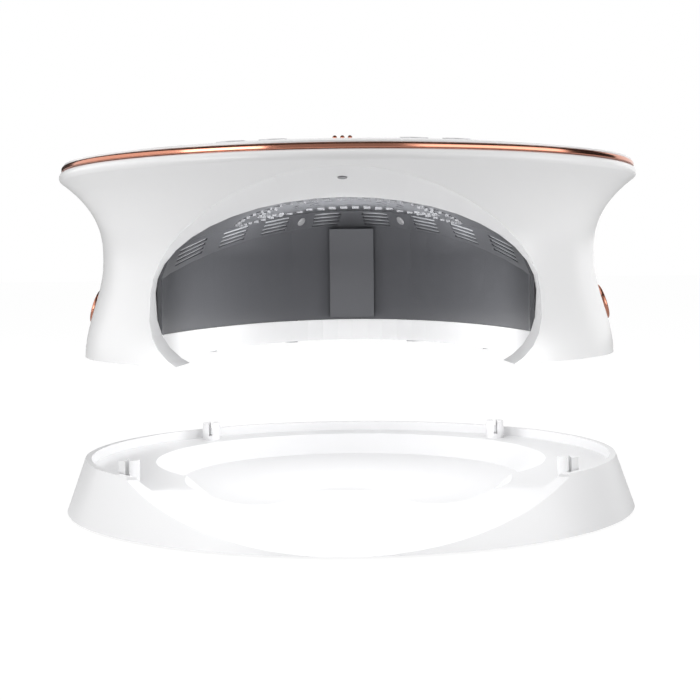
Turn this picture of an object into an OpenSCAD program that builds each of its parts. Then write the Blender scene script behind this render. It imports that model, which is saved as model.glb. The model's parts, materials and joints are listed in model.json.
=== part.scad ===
// A nail lamp: an oval head with a hand cavity, shown lifted off the tray it stands on.
// Millimetres, +Z up, +Y to the back, the origin under the middle of the feet.

/* [Head shell] */
// Width of the head across its lip
lip_w = 230; // [215:1:250]
// Depth of every oval outline as a share of its width
oval = 0.92; // [0.9:0.01:1]
// Height of the shell from its bottom edge to the seat of the trim ring
shell_h = 72; // [70:0.5:80]
// Narrowing from the lip to the waist, on each side
lip_flare = 16.8; // [12:0.2:19]
// Spreading from the waist to the bottom edge, on each side
foot_flare = 7.3; // [5:0.1:9]
// Height of the waist above the bottom edge
waist_h = 37.5; // [34:0.5:42]
// How late the lip flares out
flare_power = 2.6; // [2:0.1:3]
// Radius of the rounded nose of the lip
nose_r = 2.2; // [2:0.1:3]
// Wall of the shell
shell_wall = 2.2; // [1.8:0.1:2.8]
// Width of the shelf that carries the cover
shelf_w = 11; // [9:0.5:14]
// Thickness of that shelf
shelf_t = 2.4; // [2:0.1:3]
// Depth of the shelf below the top of the shell
shelf_drop = 2; // [1.5:0.1:3]

/* [Hand opening] */
// Half the width of the opening at its widest
arch_w = 68.3; // [62:0.1:72]
// Height of the widest place above the bottom edge
arch_h = 25; // [22:0.5:28]
// Distance of the arch's crown below the top of the shell
arch_clear = 13; // [12:0.5:16]
// Drop of the rounded flanks below the widest place
arch_down = 33; // [30:0.5:36]
// Squareness of the flanks, 2 is an ellipse
flank_power = 3; // [2.4:0.1:4]
// Distance of the opening's inner edge in front of the middle
arch_front = 60; // [54:1:64]
// Widening of the opening from its inner edge to the front, on each side
funnel_w = 3.7; // [2:0.1:5]
// Rise of the soffit from its inner edge to the front
funnel_up = 7; // [4:0.1:9]
// Length over which the opening widens
funnel_l = 40; // [36:1:44]
// Wall of the funnel round the opening
collar_wall = 2.2; // [1.8:0.1:2.8]
// Thickness of the shell's floor under its two toes
toe_floor = 2.4; // [2:0.1:3]

/* [Reflector] */
// Half the width of the cavity's bullet-shaped plan
cavity_w = 71.5; // [68:0.5:74]
// Length of the plan's ellipse
cavity_l = 222; // [215:1:228]
// Room between the cavity's back wall and the outside of the head's foot
back_room = 15; // [13:0.5:18]
// Height of the reflector's bottom edge above the head's
liner_bottom = 10.2; // [8:0.1:12]
// How much the reflector's arch stands clear of the opening's
liner_step = 2; // [1:0.1:2.5]
// Wall of the reflector
liner_wall = 1.8; // [1.5:0.1:2.2]
// Width of the sloping shoulder between wall and ceiling
shoulder_w = 5; // [4:0.1:7]
// Height of that shoulder
shoulder_h = 6.5; // [5:0.1:8]
// Number of light windows on each side
window_count = 4; // [3:1:4]
// Turn of the first window from the back
window_first = 10.5; // [9:0.5:12]
// Turn of the second window from the back
window_next = 30; // [28:0.5:32]
// Distance of the front windows in front of the middle
window_front = 30; // [28:0.5:33]
// Length of a light slot in the window at the back
slot_l = 14; // [11:0.5:15]
// How much longer the slots are from each window to the next
slot_more = 6; // [4:0.5:7]
// Width of a light slot
slot_w = 1.1; // [0.8:0.1:1.3]
// Distance between light slots
slot_pitch = 1.9; // [1.7:0.1:2]
// Number of slots in a window
slot_count = 4; // [3:1:4]

/* [Fan and its grille] */
// Distance of the fan behind the middle
fan_y = 8; // [4:1:10]
// Side of the square fan frame
fan_w = 60; // [56:1:62]
// Height of the fan frame
fan_h = 10; // [9:0.5:11]
// Radius of the fan's duct
duct_r = 28; // [25:0.5:28.5]
// Radius of the impeller
impeller_r = 26.8; // [24:0.1:27]
// Number of blades
blade_count = 7; // [5:1:9]
// Radius of the motor's shaft
shaft_r = 1; // [0.8:0.1:1.5]
// Radius of the inner ring of grille slots
grille_r1 = 15; // [14:0.5:16]
// Radius of the outer ring of grille slots
grille_r2 = 22; // [20:0.5:23]
// Width of a grille slot
grille_slot = 2; // [1.5:0.1:2.5]
// Number of slots in each ring
grille_n = 12; // [8:1:14]

/* [Light lenses] */
// Half the depth of the inner ring of lens strips in the ceiling
lens_r1 = 29.5; // [28:0.5:31]
// Half the depth of the outer ring of lens strips
lens_r2 = 37; // [35:0.5:38]
// Number of places for strips in the inner ring
lens_n1 = 44; // [36:4:48]
// Number of places for strips in the outer ring
lens_n2 = 56; // [44:2:58]
// Width of the lens rings as a share of their depth
lens_wide = 1.25; // [1:0.05:1.3]
// Length of a lens strip
lens_l = 3; // [2.4:0.1:3.6]
// Width of a lens strip
lens_w = 1.6; // [1.2:0.1:2]
// How far the strips hang below the ceiling
lens_proud = 0.6; // [0.4:0.1:0.9]

/* [Cover and trim] */
// Height of the visible band of the trim ring
trim_h = 2; // [1.5:0.1:3]
// Set back of the trim band from the lip
trim_back = 1; // [0.6:0.1:1.5]
// Rise of the cover's dome
dome_h = 6.8; // [5:0.2:9]
// How flat the middle of the dome is
dome_power = 2.5; // [2:0.1:3]
// Wall of the cover
cover_wall = 2.2; // [1.8:0.1:2.6]
// Height of the cover's upright edge
cover_edge = 0.6; // [0.4:0.1:1]
// Radius of a stud on the brow
stud_r = 0.8; // [0.6:0.1:1]
// Distance between the studs
stud_pitch = 2.6; // [2.2:0.1:3]
// Distance of the studs behind the front of the lip
stud_back = 24.8; // [22:0.2:26]

/* [Keys and display] */
// Radius of a timer key
key_r = 5; // [4:0.1:5.4]
// How far a key stands above the cover
key_proud = 0.5; // [0.3:0.1:1]
// Travel of a key
key_travel = 0.6; // [0.4:0.1:0.8]
// Distance of the key row behind the front of the lip
key_back = 39.8; // [38:0.2:42]
// Distance of the inner keys from the middle
key_x1 = 25; // [24:0.5:26]
// Distance of the outer keys from the middle
key_x2 = 40; // [39:0.5:42]
// Width of the display window
window_w = 30; // [26:0.5:31]
// Depth of the display window
window_d = 14; // [12:0.5:15]

/* [Side buttons] */
// Radius of the button's bezel
bezel_r = 7.4; // [7:0.1:8]
// Height of the button's axis above the head's bottom edge
side_h = 19; // [17:0.5:21]
// Radius of the button cap
cap_r = 5.4; // [5:0.1:5.6]
// How far the bezel stands out of the shell
bezel_proud = 1.8; // [1.2:0.1:2.2]
// How far the cap stands out of the bezel
cap_proud = 0.5; // [0.3:0.1:0.9]
// Travel of a side button
side_travel = 1.5; // [1:0.1:1.8]

/* [Tray] */
// Height of the tray's rim above the floor
tray_h = 21; // [20:0.5:23]
// Widening of the tray from its rim to its bottom, on each side
tray_spread = 7; // [5:0.5:9]
// Wall of the tray
tray_wall = 2.4; // [2:0.1:3]
// Depth of the ledge below the rim
ledge_drop = 4; // [3.5:0.1:5]
// Depth of the hand dish below the ledge
dish_drop = 8; // [6:0.5:9]
// Half the width of the hand dish
dish_r = 80; // [76:1:82]
// Slope of the front ramp in degrees
ramp_slope = 27; // [25:0.5:29]
// Distance of the ramp's crest in front of the middle
crest_y = 72; // [70:0.5:74]
// Distance from the middle to each palm hollow
palm_x = 31; // [28:0.5:33]
// Half the width of a palm hollow
palm_w = 30; // [27:0.5:30]
// Thickness of the plate under the tray
base_t = 2.4; // [2:0.1:3]
// Radius of a rubber foot
foot_pad_r = 7; // [6:0.5:9]
// How far the feet stand out of the base plate
foot_proud = 0.8; // [0.6:0.1:1.5]

/* [Posts] */
// Radius of a split post
post_r = 3.9; // [3.5:0.1:4.2]
// How far the posts stand above the rim
post_proud = 3.8; // [3:0.1:5]
// Width of the slit in a post
post_slit = 1.6; // [1.2:0.1:2]
// Sideways distance of the front posts
post_front_x = 80.6; // [79:0.1:81]
// Distance of the front posts in front of the middle
post_front_y = 49.2; // [46:0.1:50]
// Sideways distance of the back posts
post_back_x = 65; // [62:0.5:67]
// Distance of the back posts behind the middle
post_back_y = 64; // [62:0.5:67]

/* [Fits] */
// Distance between the lifted head and the tray's rim
head_gap = 40; // [20:1:60]
// Clearance between fixed pieces
seat_gap = 0.15; // [0.1:0.05:0.25]
// Clearance round a moving key, button or post
slide_gap = 0.3; // [0.2:0.05:0.4]
// Clearance between faces that rest on each other
touch_gap = 0.05; // [0.02:0.01:0.1]
// Clearance between the fan's shaft and its hub
shaft_gap = 0.06; // [0.04:0.01:0.1]

/* [Hidden] */
$fn = 48;
round_fn = 128;
eps = 0.01;
lip_r = lip_w / 2;
waist_r = lip_r - lip_flare;
foot_r = waist_r + foot_flare;
head_z = tray_h + head_gap;

// The shell's outline: an S-shaped foot, a late flare and a round nose at the lip
nose_at = [lip_r - nose_r, shell_h - nose_r];
flare_end = nose_at + nose_r * [cos(-50), sin(-50)];
foot_steps = 10;
flare_steps = 14;
function foot_at(h) = waist_r + foot_flare * (1 - cos(180 * (waist_h - h) / waist_h)) / 2;
function foot_lean(h) = atan(foot_flare * PI / (2 * waist_h) * sin(180 * (waist_h - h) / waist_h));
function flare_at(h) =
    waist_r + (flare_end[0] - waist_r) * pow((h - waist_h) / (flare_end[1] - waist_h), flare_power);
shell_line = concat(
    [for (i = [0 : foot_steps]) let (h = waist_h * i / foot_steps) [foot_at(h), h]],
    [for (i = [1 : flare_steps])
        let (h = waist_h + (flare_end[1] - waist_h) * i / flare_steps) [flare_at(h), h]]);
nose_line = [for (a = [-35 : 25 : 90]) nose_at + nose_r * [cos(a), sin(a)]];
function along(p, i) = p[min(i + 1, len(p) - 1)] - p[max(i - 1, 0)];
function inset(p, t) = [for (i = [0 : len(p) - 1])
    let (d = along(p, i)) p[i] + t * [-d[1], d[0]] / norm(d)];
shelf_top = shell_h - shelf_drop;
shelf_low = shelf_top - shelf_t;
recess_r = lip_r - nose_r - 0.6;
shelf_in = recess_r - shelf_w;
inner_line = [for (p = inset(shell_line, shell_wall)) if (p[1] < shelf_low - 0.5) p];

// The hand opening and the reflector
arch_up = shell_h - arch_clear - arch_h;
cavity_back = oval * foot_r - back_room;
back_centre = cavity_back - cavity_l;
liner_w = arch_w + liner_step;
liner_up = arch_up + liner_step;
function plan_point(a, grow = 0) =
    [(cavity_w + grow) * sin(a), back_centre + (cavity_l + grow) * cos(a)];
function plan_normal(a) =
    let (n = [sin(a) / cavity_w, cos(a) / cavity_l]) n / norm(n);
function ceiling_at(x) = arch_h + liner_up * sqrt(max(0, 1 - pow(x / liner_w, 2)));
window_last = acos((-window_front - back_centre) / cavity_l);
window_step = (window_last - window_next) / (window_count - 2);
window_angles = concat([window_first], [for (i = [0 : window_count - 2]) window_next + window_step * i]);
duct_cover_w = 20.5;
duct_cover_d = 8;
duct_cover_wall = 1.5;
duct_cover_top = arch_h + liner_up - 8.5;
duct_cover_low = liner_bottom + 1.3;
guide_low = 2.7;
guide_rib = guide_low - 0.2;
slot_cut = 6;
die_w = 2.8;
die_h = 0.9;
bar_t = 1.2;
guide_t = 1.6;
guide_edge = 1.5;
lens_top = arch_h + liner_up + liner_wall + 0.3;
chip_w = 1.2;
chip_h = 0.5;
ring_low = lens_top + seat_gap + chip_h;
ring_t = 0.8;
fan_low = ring_low + ring_t + seat_gap;
fan_hole = fan_w / 2 - 5;
fan_boss_places = [for (x = [-1, 1], y = [-1, 1]) [x * fan_hole, fan_y + y * fan_hole]];
fan_boss_r = 2.8;
hub_r = 11;
hub_wall = 1.6;

// The cover and the keys
stud_y = oval * lip_r - stud_back;
key_y = oval * lip_r - key_back;
cover_base = shell_h + trim_h + 0.1;
cover_r = lip_r - trim_back - 0.9;
skirt_out = recess_r - 3.4;
skirt_in = skirt_out - 2.6;
function dome(r) = cover_base + cover_edge + dome_h * (1 - pow(r / cover_r, dome_power));
function dome_at(x, y) = dome(norm([x, y / oval]));
key_places = [[-key_x2, -key_y], [-key_x1, -key_y], [key_x1, -key_y], [key_x2, -key_y]];
key_flange = 1;
flange_drop = 1.1;
window_flange = 1.2;
control_screw_x = window_w / 2 + window_flange + 3;
control_screw_places = [[-46, -key_y + 9], [46, -key_y + 9],
    [-control_screw_x, -key_y + 10], [control_screw_x, -key_y + 10]];
board_t = 1.6;
control_low = shell_h - 5.5;
control_top = control_low + board_t;
control_w = 100;
control_d = 24;
switch_h = 3.5;
plunger_h = 0.8;
plunger_top = control_top + switch_h + plunger_h;
window_low = dome_at(window_w / 2, key_y + window_d / 2) - cover_wall - 1.2;
flange_t = 0.8;
display_h = window_low - flange_t - seat_gap - control_top - touch_gap;
driver_low = control_low;
driver_top = driver_low + board_t;
driver_w = 56;
driver_d = 28;
driver_y = 54;
driver_boss_places = [for (x = [-1, 1], y = [-1, 1]) [x * 17.5, driver_y + y * 9]];
board_boss_r = 2.6;
function boss_near(p, r) = min([for (q = concat(fan_boss_places, driver_boss_places)) norm(p - q)]) < r;
lens_places = [for (ring = [[lens_r1, lens_n1], [lens_r2, lens_n2]], i = [0 : ring[1] - 1])
    let (a = 360 * (i + 0.5) / ring[1], p = [lens_wide * ring[0] * cos(a), fan_y + ring[0] * sin(a)])
        if (!boss_near(p, fan_boss_r + lens_l / 2 + 0.6)) [p[0], p[1], atan2(lens_wide * sin(a), cos(a))]];
ribbon_x = control_screw_x + 2.9;
ribbon_w = 5.6;
ribbon_t = 0.8;
ribbon_top = fan_low + fan_h + 2.4;

// The tray
tray_r = foot_r + 0.5;
tray_low = foot_proud;
tray_low_r = tray_r + tray_spread;
ledge_z = tray_h - ledge_drop;
dish_z = ledge_z - dish_drop;
post_places = [[-post_front_x, -post_front_y], [post_front_x, -post_front_y],
    [-post_back_x, post_back_y], [post_back_x, post_back_y]];
post_top = tray_h + post_proud;
base_top = tray_low + base_t;
tray_screw_places = [[-60, -14], [60, -14], [-42, 56], [42, 56]];
foot_places = [[-78, -28], [78, -28], [-56, 62], [56, 62]];

// The frame under the head, its screws and the rivets
socket_wall = 1.4;
frame_low = 0.6;
frame_t = 2.4;
frame_top = frame_low + frame_t;
frame_screw_angles = [-21, 24, 62, 118, 156, 201];
liner_screw_places = [for (s = [-1, 1], a = [22, 50]) let (p = plan_point(a, liner_wall + 2)) [s * p[0], p[1]]];
liner_boss_h = 16;
liner_boss_r = 3;
rivet_angle = (window_first + window_next) / 2;
rivet_r = 2.2;
rivet_hole = 0.7;
frame_screw_r = foot_r - shell_wall - 4.4;
cover_screw_angles = [38, 142, 218, 322];
cover_screw_r = skirt_in - 1.6;
frame_boss_h = 13;
boss_r = 3.4;
cover_boss_r = 2.8;
screw_hole = 1.3;
clear_hole = 1.7;
vent_low = shell_h - 30;
vent_h = 14;
jack_r = 4;
jack_top = side_h + 5;
jack_l = 18;
jack_face = oval * foot_at(side_h) + 0.2;
soffit_tilt = atan(funnel_up / funnel_l);
sensor_y = 17.8 - oval * lip_r;
sensor_r = 1.6;
sensor_board_w = 12;
sensor_h = arch_h + arch_up + funnel_up * (-sensor_y - arch_front) / funnel_l;

// The side buttons
side_r = foot_at(side_h);
side_tilt = foot_lean(side_h);
cap_flange = 1;
cap_stem_r = 2;
cap_top = bezel_proud + cap_proud;
bezel_tube_r = cap_r + slide_gap + 0.9;
bezel_back = -4.4;
bezel_seat = -0.35;
bezel_edge = 0.7;
spring_seat = -12;
bracket_t = 1.6;
spring_r = 3.2;
spring_wire = 0.35;
spring_turns = 5;

module in_head() { translate([0, 0, head_z]) children(); }
module oval_form() { scale([1, oval, 1]) children(); }
// A flat profile turned round the oval, one quarter at a time
module oval_turn() for (q = [0 : 3])
    oval_form() rotate([0, 0, 90 * q]) rotate_extrude(angle = 90, $fn = round_fn) children();
module at_angle(a, r) { translate([r * cos(a), oval * r * sin(a), 0]) children(); }
module mirrored() { children(); mirror([1, 0, 0]) children(); }

// A screw that points up, its head's underside at the origin
module screw(length, head_r = 2.6, shank_r = 1.25) {
    difference() {
        translate([0, 0, -1.6]) cylinder(r = head_r, h = 1.6);
        translate([0, 0, -1.6 - eps]) cylinder(r = 1.1, h = 1, $fn = 6);
    }
    translate([0, 0, -eps]) cylinder(r = shank_r, h = length);
}

// The cross-section of the hand opening, seen from the front
module arch_face(grow, up_extra, steps = 20) {
    w = arch_w + grow;
    up = arch_up + up_extra;
    down = arch_down;
    e = 2 / flank_power;
    polygon(concat(
        [for (i = [0 : steps]) let (a = 180 * i / steps) [w * cos(a), arch_h + up * sin(a)]],
        [for (i = [1 : steps - 1]) let (a = 180 * i / steps)
            [-w * sign(cos(a)) * pow(abs(cos(a)), e), arch_h - down * pow(sin(a), e)]]));
}

// The opening as a solid that widens towards the front
module arch_funnel(wall, reach) {
    k = reach / funnel_l;
    hull() {
        translate([0, -arch_front + eps, 0]) rotate([90, 0, 0]) linear_extrude(eps)
            arch_face(wall, wall);
        translate([0, -arch_front - reach, 0]) rotate([90, 0, 0]) linear_extrude(eps)
            arch_face(wall + funnel_w * k, wall + funnel_up * k);
    }
}

// The cavity of the reflector as a solid: arch and bullet plan with a sloping shoulder
module cavity_plan(grow, front, top, low, cut = 0, steps = 16) {
    side = max([for (i = [-steps : steps]) let (p = plan_point(90 * i / steps, grow - cut))
        p[1] > -arch_front ? p[0] : 0]);
    translate([0, 0, low]) linear_extrude(top - low) intersection() {
        polygon([for (i = [-steps : steps]) plan_point(90 * i / steps, grow - cut)]);
        translate([-side, -front]) square([2 * side, 2 * cavity_l]);
    }
}
module cavity_arch(grow, lower, low, steps = 24) {
    w = liner_w + grow;
    up = liner_up + grow;
    translate([0, cavity_back + grow + 1, 0]) rotate([90, 0, 0])
        linear_extrude(cavity_back + arch_front + 40)
            polygon(concat([[w, low], for (i = [0 : steps]) let (a = 180 * i / steps)
                [w * cos(a), arch_h - lower + up * sin(a)]], [[-w, low]]));
}
module cavity(grow, front, low) {
    hull() {
        intersection() {
            cavity_plan(grow, front, shell_h, low);
            cavity_arch(grow, shoulder_h, low);
        }
        intersection() {
            cavity_plan(grow, front, shell_h, low, cut = shoulder_w);
            cavity_arch(grow, 0, low);
        }
    }
}

// A place on the reflector's shoulder, x along it and z out of the cavity
module at_window(a) {
    n = plan_normal(a);
    wall_at = plan_point(a);
    top_at = wall_at - shoulder_w * n;
    z_top = ceiling_at(top_at[0]);
    z_low = ceiling_at(wall_at[0]) - shoulder_h;
    mid = (wall_at + top_at) / 2;
    ahead = plan_point(a + 1);
    rise = atan((ceiling_at(ahead[0]) - ceiling_at(wall_at[0])) / norm(ahead - wall_at));
    translate([mid[0], mid[1], (z_top + z_low) / 2])
        rotate([0, 0, atan2(n[1], n[0]) - 90])
            rotate([0, -rise, 0])
                rotate([-atan2(z_top - z_low, shoulder_w), 0, 0])
                    children();
}
module all_windows() {
    for (i = [0 : window_count - 1]) let ($long = slot_l + slot_more * i)
        mirrored() at_window(window_angles[i]) children();
}
module slot_row(depth, low, less = 0) {
    l = $long - less;
    w = slot_w - less;
    for (i = [0 : slot_count - 1])
        translate([0, (i - (slot_count - 1) / 2) * slot_pitch, low]) {
            translate([-(l - w) / 2, -w / 2, 0]) cube([l - w, w, depth]);
            for (s = [-1, 1]) translate([s * (l - w) / 2, 0, 0]) cylinder(r = w / 2, h = depth, $fn = 16);
        }
}

// Upright bars round the fan, from a height below the ceiling up to a level
module lens_bars(drop, high, grow = 0) {
    for (p = lens_places) let (low = ceiling_at(p[0]) - drop)
        translate([p[0], p[1], low]) rotate([0, 0, p[2]])
            translate([-lens_w / 2 - grow, -lens_l / 2 - grow, 0])
                cube([lens_w + 2 * grow, lens_l + 2 * grow, high - low]);
}

// Everything under the ramp's plane, lowered by a distance
module under_ramp(lower) {
    translate([0, -crest_y, ledge_z - lower]) rotate([ramp_slope, 0, 0])
        translate([-200, -200, -100]) cube([400, 600, 100]);
}

// Tray
module dish_form() {
    flat = dish_drop * 1.3;
    translate([0, 8, dish_z]) oval_form()
        cylinder(r1 = dish_r - flat, r2 = dish_r + 1, h = dish_drop + 1, $fn = round_fn);
    mirrored() translate([palm_x, -40, dish_z]) scale([palm_w / 44, 1, 1])
        cylinder(r1 = 44 - flat, r2 = 45, h = dish_drop + 1, $fn = 64);
}
module tray_solid() {
    oval_form() translate([0, 0, tray_low])
        cylinder(r1 = tray_low_r, r2 = tray_r, h = tray_h - tray_low, $fn = round_fn);
}
module tray_shell() color([0.97, 0.97, 0.97]) {
    difference() {
        intersection() {
            tray_solid();
            union() {
                under_ramp(0);
                translate([-200, -crest_y + 6, -1]) cube([400, 400, tray_h + 10]);
            }
        }
        oval_form() translate([0, 0, ledge_z])
            cylinder(r = tray_r - tray_wall, h = tray_h, $fn = round_fn);
        dish_form();
        intersection() {
            oval_form() translate([0, 0, tray_low - 1]) cylinder(r = tray_low_r - tray_wall,
                h = dish_z - tray_wall - tray_low + 1, $fn = round_fn);
            under_ramp(tray_wall * 1.15);
        }
    }
    for (p = post_places) translate([p[0], p[1], ledge_z - 1]) difference() {
        cylinder(r = post_r, h = post_top - ledge_z + 1);
        translate([-post_slit / 2, -10, 3]) cube([post_slit, 20, 20]);
    }
    for (p = tray_screw_places) translate([p[0], p[1], base_top + seat_gap]) difference() {
        cylinder(r = boss_r, h = dish_z - tray_wall - base_top);
        translate([0, 0, -eps]) cylinder(r = screw_hole, h = dish_z - tray_wall - base_top - seat_gap);
    }
}
module tray_base_plate() color([0.93, 0.93, 0.93]) difference() {
    intersection() {
        oval_form() translate([0, 0, tray_low]) cylinder(r = tray_low_r - tray_wall - slide_gap,
            h = base_t, $fn = round_fn);
        under_ramp(tray_wall * 1.15 + slide_gap);
    }
    for (p = foot_places) translate([p[0], p[1], tray_low - 1])
        cylinder(r = foot_pad_r + seat_gap, h = 2);
    for (p = tray_screw_places) translate([p[0], p[1], tray_low]) {
        translate([0, 0, -1]) cylinder(r = clear_hole, h = 10);
        translate([0, 0, -1]) cylinder(r = 3, h = 2);
    }
}
module tray_feet() color([0.25, 0.25, 0.27])
    for (p = foot_places) translate([p[0], p[1], 0])
        cylinder(r = foot_pad_r, h = tray_low + 1 - seat_gap);
module tray_screws() color([0.7, 0.7, 0.72])
    for (p = tray_screw_places) translate([p[0], p[1], tray_low + 0.85])
        difference() {
            union() {
                translate([0, 0, -0.75]) cylinder(r = 2.6, h = 0.9);
                cylinder(r = 1.2, h = dish_z - tray_wall - tray_low - 1.3);
            }
            translate([0, 0, -0.8]) cylinder(r = 1, h = 0.6, $fn = 6);
        }

// Head casing
module shell_outside() {
    oval_form() rotate_extrude($fn = round_fn)
        polygon(concat([[0, 0]], shell_line, nose_line, [[0, shell_h]]));
}
module shell_inside() {
    oval_form() rotate_extrude($fn = round_fn)
        polygon(concat([[0, -1], [inner_line[0][0], -1]], inner_line,
            [[inner_line[len(inner_line) - 1][0] + 0.4, shelf_low], [shelf_in, shelf_low],
                [shelf_in, shelf_top], [recess_r, shelf_top], [recess_r, shell_h + 1],
                [0, shell_h + 1]]));
}
module outer_shell() color([0.97, 0.97, 0.97]) in_head() {
    difference() {
        shell_outside();
        difference() {
            shell_inside();
            arch_funnel(collar_wall, 70);
            translate([-120, -150 - arch_front, -2]) cube([240, 150, toe_floor + 2]);
        }
        arch_funnel(0, 70);
        mirrored() at_side() {
            translate([0, 0, -20]) cylinder(r = bezel_tube_r + seat_gap, h = 40);
            translate([0, 0, bezel_seat]) cylinder(r = bezel_r + seat_gap, h = 20);
        }
        translate([0, 80, side_h]) rotate([-90, 0, 0]) cylinder(r = jack_r + seat_gap, h = 40);
        translate([0, sensor_y, sensor_h]) rotate([-soffit_tilt, 0, 0])
            translate([0, 0, -5]) cylinder(r = sensor_r + seat_gap, h = 12);
        for (a = cover_screw_angles) at_angle(a, cover_screw_r)
            translate([0, 0, shelf_low - 2]) cylinder(r = clear_hole, h = 6);
        for (i = [-4 : 4]) translate([i * 6 - 1, 70, vent_low]) cube([2, 60, vent_h]);
    }
    for (a = frame_screw_angles) intersection() {
        at_angle(a, frame_screw_r) difference() {
            translate([0, 0, frame_top + seat_gap]) cylinder(r = boss_r, h = frame_boss_h);
            cylinder(r = screw_hole, h = frame_boss_h);
        }
        oval_form() cylinder(r = foot_at(frame_top + frame_boss_h) - shell_wall / 2, h = 30,
            $fn = round_fn);
    }
}

module frame_plan(grow, low, high) {
    cavity_plan(grow, arch_front - seat_gap, high, low);
}
module bottom_frame() color([0.95, 0.95, 0.95]) in_head() difference() {
    union() {
        intersection() {
            oval_form() translate([0, 0, frame_low])
                cylinder(r = foot_r - shell_wall - slide_gap, h = frame_t, $fn = round_fn);
            translate([-150, -arch_front + seat_gap, -1]) cube([300, 300, 20]);
        }
        frame_plan(liner_wall, frame_low, liner_bottom - seat_gap);
        for (p = post_places) translate([p[0], p[1], frame_low])
            cylinder(r = post_r + slide_gap + socket_wall, h = post_proud + 1.4);
    }
    frame_plan(0, -1, liner_bottom + 1);
    translate([-arch_w + 2, -arch_front - 1, -1]) cube([2 * arch_w - 4, 4, 20]);
    for (p = post_places) translate([p[0], p[1], -1])
        cylinder(r = post_r + slide_gap, h = post_proud + 10);
    for (a = frame_screw_angles) at_angle(a, frame_screw_r)
        translate([0, 0, -1]) cylinder(r = clear_hole, h = 6);
    for (p = liner_screw_places) translate([p[0], p[1], -1]) {
        cylinder(r = clear_hole, h = 6);
        translate([0, 0, frame_top + 1]) cylinder(r = liner_boss_r + seat_gap, h = 20);
    }
}
module frame_screws() color([0.7, 0.7, 0.72]) in_head()
    for (a = frame_screw_angles) at_angle(a, frame_screw_r)
        flat_screw();
module flat_screw(length = 11) {
    translate([0, 0, frame_low]) difference() {
        union() {
            translate([0, 0, -0.5]) cylinder(r = 3, h = 0.4);
            translate([0, 0, -0.15]) cylinder(r = 1.2, h = length);
        }
        translate([0, 0, -0.6]) cylinder(r = 1, h = 0.6, $fn = 6);
    }
}
module liner_screws() color([0.7, 0.7, 0.72]) in_head()
    for (p = liner_screw_places) translate([p[0], p[1], 0]) flat_screw();
module liner_rivets() color([0.9, 0.9, 0.92]) in_head() mirrored() at_window(rivet_angle) {
    translate([0, 0, -0.6]) cylinder(r1 = rivet_r - 0.6, r2 = rivet_r, h = 0.5, $fn = 32);
    translate([0, 0, -0.15]) cylinder(r = rivet_hole, h = 6, $fn = 24);
}
module trim_ring() color([0.85, 0.5, 0.38]) in_head() oval_turn()
    polygon([[skirt_out + seat_gap, shelf_top + seat_gap], [recess_r - seat_gap, shelf_top + seat_gap],
        [recess_r - seat_gap, shell_h + 0.1], [lip_r - trim_back - 0.4, shell_h + 0.1],
        [lip_r - trim_back, shell_h + 0.6], [lip_r - trim_back, shell_h + trim_h - 0.6],
        [lip_r - trim_back - 0.4, shell_h + trim_h], [skirt_out + seat_gap, shell_h + trim_h]]);
module dome_solid(raise = 0) {
    steps = 24;
    oval_turn()
        polygon(concat([[0, shelf_top], [cover_r, shelf_top]],
            [for (i = [0 : steps]) let (r = cover_r * (1 - i / steps)) [r, dome(r) + raise]]));
}
module top_cover() color([0.97, 0.97, 0.97]) in_head() {
    steps = 24;
    difference() {
        union() {
            oval_turn()
                polygon(concat([[skirt_out, cover_base], [cover_r, cover_base]],
                    [for (i = [0 : steps]) let (r = cover_r * (1 - i / steps)) [r, dome(r)]],
                    [for (i = [0 : steps]) let (r = skirt_in * i / steps) [r, dome(r) - cover_wall]],
                    [[skirt_in, shelf_top + seat_gap], [skirt_out, shelf_top + seat_gap]]));
            for (a = cover_screw_angles) at_angle(a, cover_screw_r)
                translate([0, 0, shelf_top + seat_gap])
                    cylinder(r = cover_boss_r, h = dome(cover_screw_r) - shelf_top - 1);
            for (p = control_screw_places) translate([p[0], p[1], control_top + seat_gap])
                cylinder(r = board_boss_r, h = dome_at(p[0], p[1]) - control_top - 1);
        }
        for (p = key_places) translate([p[0], p[1], shelf_top])
            cylinder(r = key_r + slide_gap, h = 30);
        translate([-window_w / 2 - seat_gap, -key_y - window_d / 2 - seat_gap, shelf_top])
            cube([window_w + 2 * seat_gap, window_d + 2 * seat_gap, 30]);
        for (a = cover_screw_angles) at_angle(a, cover_screw_r)
            translate([0, 0, shelf_top - 1]) cylinder(r = screw_hole, h = 5);
        for (p = control_screw_places) translate([p[0], p[1], control_low])
            cylinder(r = 1, h = 6);
        for (i = [-1 : 1]) translate([i * stud_pitch, -stud_y, shell_h])
            cylinder(r = 0.5 + seat_gap, h = 20, $fn = 24);
    }
}
module cover_screws() color([0.7, 0.7, 0.72]) in_head()
    for (a = cover_screw_angles) at_angle(a, cover_screw_r)
        translate([0, 0, shelf_low - seat_gap]) screw(6, shank_r = 1.2);
module brow_studs() color([0.85, 0.5, 0.38]) in_head()
    for (i = [-1 : 1]) translate([i * stud_pitch, -stud_y, dome_at(i * stud_pitch, stud_y)]) {
        translate([0, 0, -2.6]) cylinder(r = 0.5, h = 2.8, $fn = 24);
        difference() {
            translate([0, 0, 0.1]) sphere(r = stud_r, $fn = 24);
            translate([-2, -2, -4 + 0.1]) cube([4, 4, 4]);
        }
    }

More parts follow.
